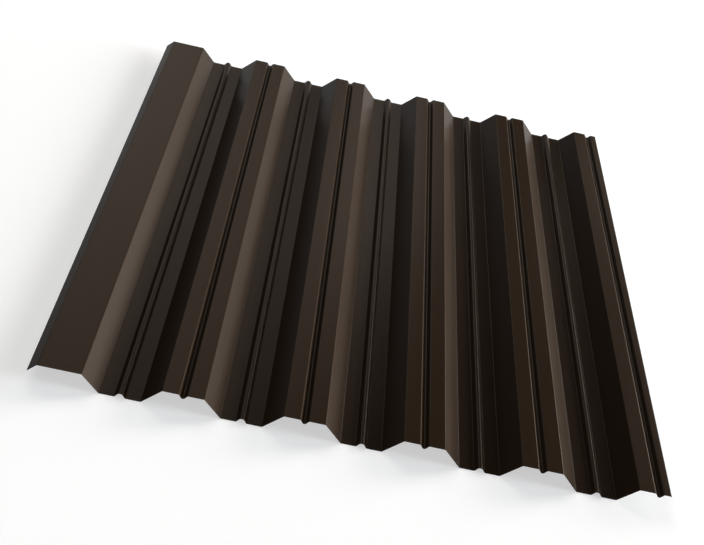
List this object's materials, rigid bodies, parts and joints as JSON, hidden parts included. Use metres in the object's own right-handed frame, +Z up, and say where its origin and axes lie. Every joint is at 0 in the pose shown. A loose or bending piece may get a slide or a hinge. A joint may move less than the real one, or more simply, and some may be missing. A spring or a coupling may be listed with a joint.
{
  "type": "corrugated metal sheet",
  "caption": "Roll-formed trapezoidal roof and wall sheet of coated steel, with ribbed valleys, grooved crests and one lapping edge.",
  "frame": {"origin": "centre of the sheet's length and width, on the plane that the undersides of the valleys lie on", "axes": "+X across the sheet towards the covered edge, +Y along the crests, +Z up through the coated side"},
  "size_m": [1.0734, 1.3, 0.0315],
  "materials": {
    "coated_steel": "satin dark brown coil coating on galvanised steel"
  },
  "bodies": {
    "root": {"profiled_sheet": "coated_steel"}
  },
  "joints": []
}
